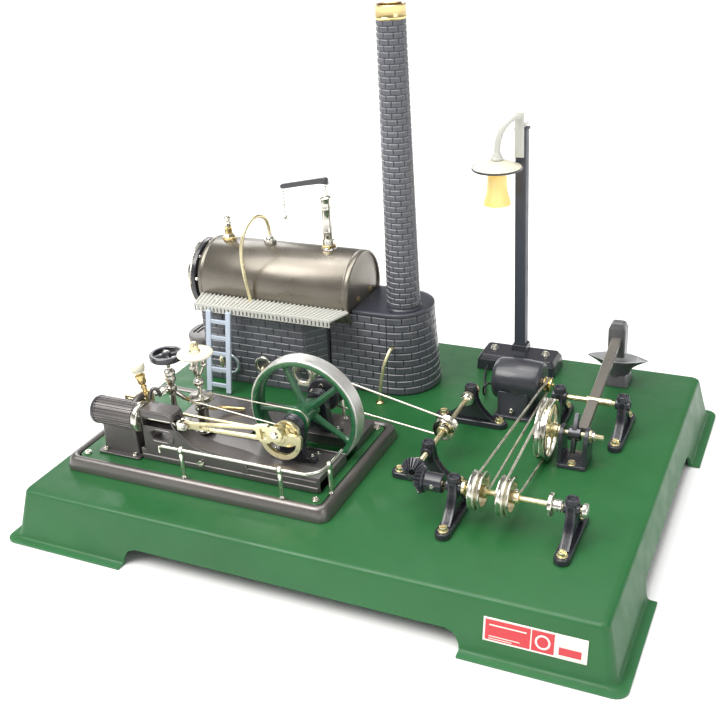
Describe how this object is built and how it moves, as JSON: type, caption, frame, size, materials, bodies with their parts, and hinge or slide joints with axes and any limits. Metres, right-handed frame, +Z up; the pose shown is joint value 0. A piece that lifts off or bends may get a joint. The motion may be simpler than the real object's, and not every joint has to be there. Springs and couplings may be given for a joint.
{
  "type": "model steam engine",
  "caption": "Horizontal toy steam engine with boiler house, chimney, line shafting, belt-driven dynamo with street lamp, and trip hammer on a sheet-metal base.",
  "frame": {"origin": "centre of the base footprint on the supporting surface", "axes": "+X along the long front edge towards the trip hammer, +Y from the engine side to the boiler side, +Z up"},
  "size_m": [0.475, 0.372, 0.3585],
  "materials": {
    "green_paint": "gloss",
    "black_paint": "gloss",
    "dark_cast": "satin",
    "boiler_paint": "satin",
    "brick_paint": "satin",
    "bright_metal": "polished",
    "brass": "polished",
    "gold_metal": "polished",
    "black_plastic": "gloss",
    "grey_plastic": "satin",
    "pale_tin": "satin",
    "ladder_paint": "satin",
    "cream_enamel": "gloss",
    "spring_belt": "satin",
    "amber_plastic": "translucent",
    "black_cable": "satin"
  },
  "bodies": {
    "base": {"base_tray": "green_paint", "engine_base_frame": "black_paint", "engine_sole_plate": "green_paint", "engine_bed": "dark_cast", "cylinder_support": "dark_cast", "cylinder_jacket": "black_plastic", "cylinder_ring": "bright_metal", "steam_chest": "dark_cast", "lubricator": "brass", "throttle_valve": "bright_metal", "governor_column": "dark_cast", "governor_belt": "spring_belt", "engine_belt": "spring_belt", "guard_rail": "bright_metal", "boiler_house": "brick_paint", "boiler_shell": "boiler_paint", "gauge_flange": "black_paint", "safety_valve_body": "brass", "steam_pipe": "gold_metal", "whistle_column": "bright_metal", "walkway": "pale_tin", "ladder": "ladder_paint", "chimney_block": "brick_paint", "chimney": "brick_paint", "drain_pipe": "gold_metal", "exhaust_pipe": "bright_metal", "pedestal_line_back": "black_plastic", "pedestal_line_front": "black_plastic", "pedestal_cross_left": "black_plastic", "pedestal_cross_right": "black_plastic", "pedestal_hammer_left": "black_plastic", "pedestal_hammer_right": "black_plastic", "dynamo_belt": "spring_belt", "hammer_belt": "spring_belt", "dynamo_housing": "grey_plastic", "lamp_wire": "black_cable", "lamp_post": "black_plastic", "lamp_arm": "pale_tin", "lamp_shade": "cream_enamel", "lamp_globe": "amber_plastic", "hammer_bracket": "black_plastic", "anvil": "dark_cast"},
    "crank": {"crankshaft": "bright_metal", "crank_web": "gold_metal", "flywheel": "green_paint"},
    "crosshead_body": {"crosshead": "bright_metal"},
    "rod_body": {"connecting_rod": "gold_metal"},
    "valve_rod_body": {"valve_rod": "gold_metal"},
    "governor_body": {"governor_spindle": "gold_metal"},
    "handwheel_body": {"throttle_handwheel": "black_plastic"},
    "line_body": {"line_shaft": "bright_metal", "bevel_gear_line": "black_plastic"},
    "cross_body": {"cross_shaft": "bright_metal", "bevel_gear_cross": "black_plastic"},
    "dynamo_body": {"dynamo_shaft": "brass"},
    "cam_body": {"cam_shaft": "bright_metal"},
    "hammer_body": {"hammer_arm": "dark_cast"},
    "burner_body": {"burner_drawer": "dark_cast"},
    "safety_valve_body_moving": {"safety_valve_stem": "bright_metal"},
    "whistle_lever_body": {"whistle_lever": "black_paint"}
  },
  "joints": [
    {"name": "crankshaft_spin", "type": "hinge", "parent": "base", "child": "crank", "pos_m": [-0.033, -0.06, 0.083], "axis": [0, 1, 0], "continuous": true},
    {"name": "line_shaft_spin", "type": "hinge", "parent": "base", "child": "line_body", "pos_m": [0.0643, -0.022, 0.066], "axis": [0, 1, 0], "continuous": true},
    {"name": "cross_shaft_spin", "type": "hinge", "parent": "base", "child": "cross_body", "pos_m": [0.13, -0.095, 0.066], "axis": [1, 0, 0], "continuous": true},
    {"name": "dynamo_spin", "type": "hinge", "parent": "base", "child": "dynamo_body", "pos_m": [0.1175, 0.072, 0.065], "axis": [1, 0, 0], "continuous": true},
    {"name": "cam_shaft_spin", "type": "hinge", "parent": "base", "child": "cam_body", "pos_m": [0.157, 0.003, 0.0645], "axis": [1, 0, 0], "continuous": true},
    {"name": "governor_spin", "type": "hinge", "parent": "base", "child": "governor_body", "pos_m": [-0.1187, -0.072, 0.087], "axis": [0, 0, 1], "continuous": true},
    {"name": "piston_stroke", "type": "slide", "parent": "base", "child": "crosshead_body", "axis": [1, 0, 0], "range_m": [-0.006, 0.006]},
    {"name": "connecting_rod_swing", "type": "hinge", "parent": "crosshead_body", "child": "rod_body", "pos_m": [-0.11, -0.1075, 0.083], "axis": [0, 1, 0], "range_deg": [0, 8.9]},
    {"name": "valve_rod_stroke", "type": "slide", "parent": "base", "child": "valve_rod_body", "axis": [1, 0, 0], "range_m": [-0.002, 0.002]},
    {"name": "throttle_turn", "type": "hinge", "parent": "base", "child": "handwheel_body", "pos_m": [-0.147, -0.07, 0.118], "axis": [0, 0, 1], "range_deg": [0, 330]},
    {"name": "burner_drawer_pull", "type": "slide", "parent": "base", "child": "burner_body", "axis": [-1, 0, 0], "range_m": [0, 0.09]},
    {"name": "safety_valve_lift", "type": "slide", "parent": "base", "child": "safety_valve_body_moving", "axis": [0, 0, 1], "range_m": [0, 0.003], "stiffness_N_per_m": 200, "springref_m": -0.004},
    {"name": "whistle_lever_pull", "type": "hinge", "parent": "base", "child": "whistle_lever_body", "pos_m": [-0.079, 0.088, 0.216], "axis": [0, 1, 0], "range_deg": [-10, 0], "stiffness_Nm_per_rad": 0.02, "springref_deg": 11.46},
    {"name": "hammer_lift", "type": "hinge", "parent": "base", "child": "hammer_body", "pos_m": [0.1585, 0.0545, 0.066], "axis": [1, 0, 0], "range_deg": [-2.5, 18]}
  ],
  "couplings": [
    {"joint": "line_shaft_spin", "follows": "crankshaft_spin", "ratio": 1.6154},
    {"joint": "cross_shaft_spin", "follows": "crankshaft_spin", "ratio": -1.6154},
    {"joint": "dynamo_spin", "follows": "crankshaft_spin", "ratio": -4.1317},
    {"joint": "cam_shaft_spin", "follows": "crankshaft_spin", "ratio": -0.9506},
    {"joint": "governor_spin", "follows": "crankshaft_spin", "ratio": -1.0595}
  ]
}
